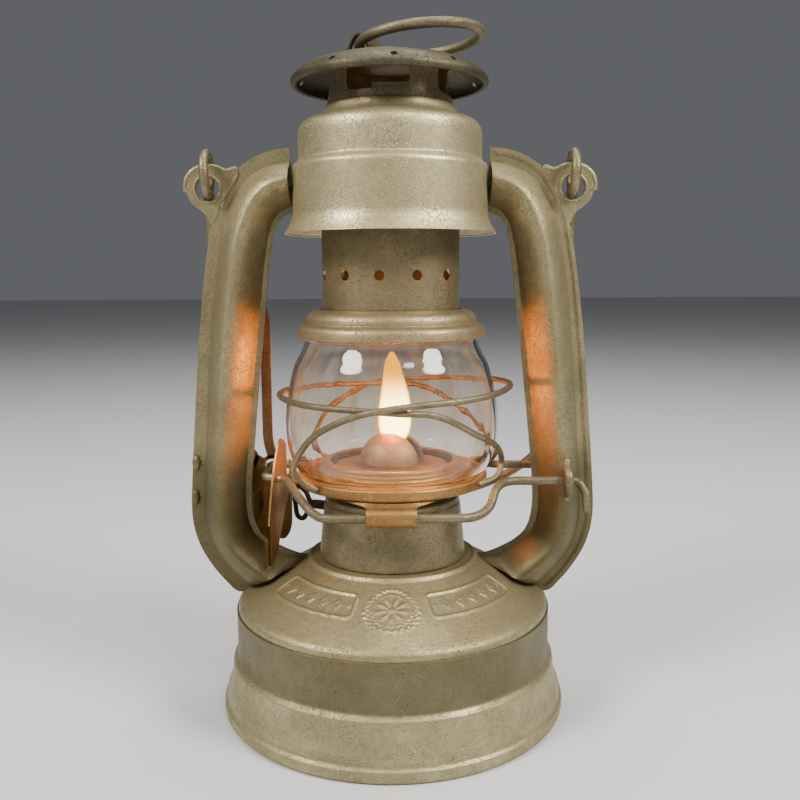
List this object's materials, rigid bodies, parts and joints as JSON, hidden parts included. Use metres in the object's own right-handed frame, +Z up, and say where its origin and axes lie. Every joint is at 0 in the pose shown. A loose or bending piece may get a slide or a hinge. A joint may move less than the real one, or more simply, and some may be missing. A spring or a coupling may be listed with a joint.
{
  "type": "oil lantern",
  "caption": "Small tubular oil lantern of aged tinned steel: tank, side tubes, hood, glass globe in a wire guard, sprung chimney with rain cap, lift lever and carrying bail.",
  "frame": {"origin": "on the lantern's axis, at the plane its base bead stands on, the middle of its footprint", "axes": "+Z up along the chimney; the two side tubes lie along X, the lift lever at -X; the front faces -Y and the bail hangs at the back, +Y"},
  "size_m": [0.15, 0.1278, 0.2446],
  "materials": {
    "aged_tin": "old tinned steel, warm grey satin with fine dark pitting and soot near the chimney",
    "wire_steel": "dull grey steel wire",
    "dark_steel": "blackened steel",
    "burner_brass": "heat-tarnished brass",
    "clear_glass": "clear blown glass with faint striations",
    "cotton_wick": "woven cotton, charred at the top",
    "cork_gasket": "cork ring"
  },
  "bodies": {
    "lantern": {"tank_top": "aged_tin", "tank_wall": "aged_tin", "tank_floor": "aged_tin", "filler_neck": "aged_tin", "burner_drum": "aged_tin", "burner_body": "burner_brass", "air_screen": "burner_brass", "burner_cone_front": "burner_brass", "burner_cone_rear": "burner_brass", "wick_tube": "burner_brass", "left_tube_front": "aged_tin", "left_tube_back": "aged_tin", "right_tube_front": "aged_tin", "right_tube_back": "aged_tin", "seam_rivet_upper": "aged_tin", "seam_rivet_lower": "aged_tin", "lever_bracket": "aged_tin", "bracket_web": "aged_tin", "lever_pin": "wire_steel", "front_staple": "wire_steel", "rear_staple": "wire_steel", "hood": "aged_tin", "chimney_spring": "wire_steel"},
    "filler_cap": {"filler_cap": "aged_tin", "filler_gasket": "cork_gasket"},
    "lift_lever": {"lift_lever": "aged_tin"},
    "lift_frame": {"lift_frame": "wire_steel"},
    "gallery": {"globe_plate": "aged_tin", "front_hanger": "aged_tin", "rear_hanger": "aged_tin", "guard_wire_a": "wire_steel", "guard_wire_b": "wire_steel", "globe": "clear_glass"},
    "chimney": {"chimney_bell": "aged_tin", "chimney_tube": "aged_tin", "chimney_neck": "aged_tin", "rain_cap": "aged_tin", "ring_strap": "aged_tin", "spring_seat": "aged_tin"},
    "cap_ring": {"cap_ring": "wire_steel"},
    "bail": {"bail": "wire_steel"},
    "wick_raiser": {"wick_spindle": "dark_steel", "wick_sprocket_a": "dark_steel", "wick_sprocket_b": "dark_steel"},
    "wick": {"wick": "cotton_wick"}
  },
  "joints": [
    {"name": "lift_lever_hinge", "type": "hinge", "parent": "lantern", "child": "lift_lever", "pos_m": [-0.056, 0.0128, 0.09], "axis": [0, -1, 0], "range_deg": [0, 50]},
    {"name": "lift_frame_hinge", "type": "hinge", "parent": "lantern", "child": "lift_frame", "pos_m": [0.0628, 0, 0.0867], "axis": [0, 1, 0], "range_deg": [0, 4.6]},
    {"name": "gallery_lift", "type": "slide", "parent": "lantern", "child": "gallery", "axis": [0, 0, 1], "range_m": [0, 0.0049]},
    {"name": "chimney_lift", "type": "slide", "parent": "gallery", "child": "chimney", "axis": [0, 0, 1], "range_m": [0, 0.012], "stiffness_N_per_m": 150, "springref_m": -0.01, "deforming": ["chimney_spring"]},
    {"name": "cap_ring_hinge", "type": "hinge", "parent": "chimney", "child": "cap_ring", "pos_m": [-0.0105, 0, 0.2392], "axis": [0, -1, 0], "range_deg": [0, 168]},
    {"name": "bail_hinge", "type": "hinge", "parent": "lantern", "child": "bail", "pos_m": [0, 0, 0.1956], "axis": [1, 0, 0], "range_deg": [0, 306]},
    {"name": "wick_slide", "type": "slide", "parent": "lantern", "child": "wick", "axis": [0, 0, 1], "range_m": [-0.0104, 0.0052]},
    {"name": "wick_raiser_turn", "type": "hinge", "parent": "lantern", "child": "wick_raiser", "pos_m": [0.00173, 0.00372, 0.07], "axis": [-0.9063, 0.4226, 0], "range_deg": [-173, 87]},
    {"name": "filler_cap_lift", "type": "slide", "parent": "lantern", "child": "filler_cap", "axis": [0, 0.4877, 0.873], "range_m": [0, 0.0042]}
  ],
  "couplings": [
    {"joint": "lift_lever_hinge", "follows": "gallery_lift", "rad_per_m": 177.12},
    {"joint": "lift_frame_hinge", "follows": "gallery_lift", "rad_per_m": 15.94},
    {"joint": "wick_raiser_turn", "follows": "wick_slide", "rad_per_m": 285.71}
  ]
}
